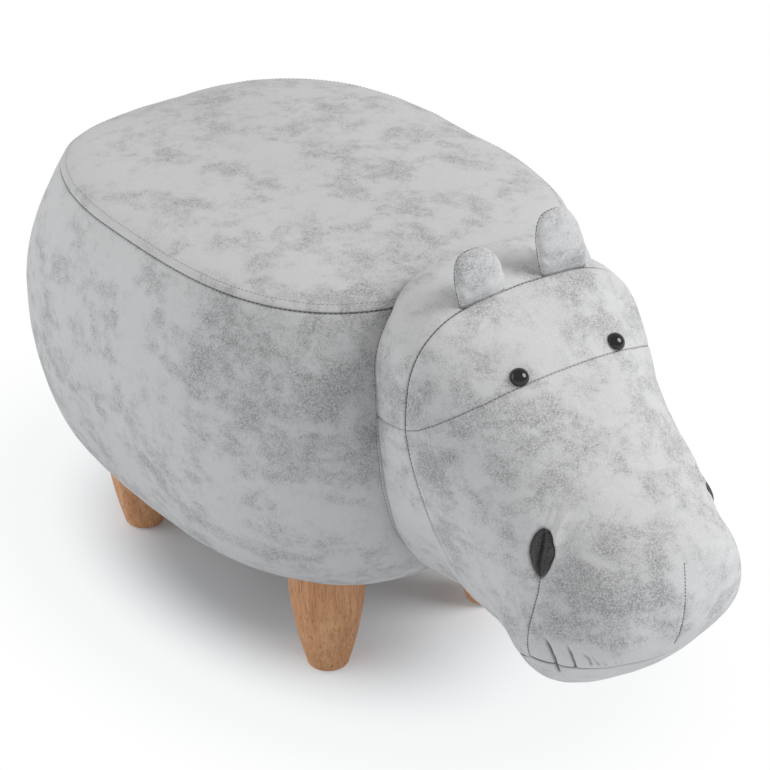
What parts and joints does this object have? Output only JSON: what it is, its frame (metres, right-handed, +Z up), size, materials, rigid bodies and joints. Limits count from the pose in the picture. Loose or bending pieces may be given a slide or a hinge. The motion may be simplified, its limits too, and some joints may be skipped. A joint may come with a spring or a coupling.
{
  "type": "animal footstool",
  "caption": "Hippo-shaped upholstered footstool with a crowned seat, a stuffed head and tapered wooden legs.",
  "frame": {"origin": "on the floor at the centre of the whole footprint", "axes": "+Z up; the animal faces -Y and its left side is +X"},
  "size_m": [0.3722, 0.666, 0.4],
  "materials": {
    "suede_cloth": "soft suede cloth, light grey with darker patches of nap",
    "nostril_leather": "dark grey leather, slightly creased",
    "eye_gloss": "black, high gloss",
    "washer_plastic": "plain white",
    "leg_wood": "clear satin over straight grain",
    "glide_plastic": "plain dark",
    "zinc_steel": "zinc plated",
    "dust_cloth": "thin dark non-woven cloth",
    "box_wood": "raw plywood and pine",
    "foam": "open-cell foam",
    "stuffing": "polyester fibre"
  },
  "bodies": {
    "root": {"band_lower": "suede_cloth", "band_upper": "suede_cloth", "base_board": "box_wood", "base_cloth": "dust_cloth", "base_screws": "zinc_steel", "chin_panel": "suede_cloth", "corner_blocks": "box_wood", "ear_fillings": "stuffing", "ear_left": "suede_cloth", "ear_right": "suede_cloth", "eye_left": "eye_gloss", "eye_right": "eye_gloss", "eye_washers": "washer_plastic", "forehead_panel": "suede_cloth", "front_foam": "foam", "front_panel": "box_wood", "hanger_bolts": "zinc_steel", "head_stuffing": "stuffing", "leg_front_left": "leg_wood", "leg_front_right": "leg_wood", "leg_glides": "glide_plastic", "leg_rear_left": "leg_wood", "leg_rear_right": "leg_wood", "muzzle_panel": "suede_cloth", "nostril_left": "nostril_leather", "nostril_right": "nostril_leather", "rear_foam": "foam", "rear_panel": "box_wood", "seat_cover": "suede_cloth", "seat_foam": "foam", "side_cover": "suede_cloth", "side_foam_left": "foam", "side_foam_right": "foam", "side_panel_left": "box_wood", "side_panel_right": "box_wood", "tee_nuts": "zinc_steel", "top_board": "box_wood", "top_screws": "zinc_steel"}
  },
  "joints": []
}
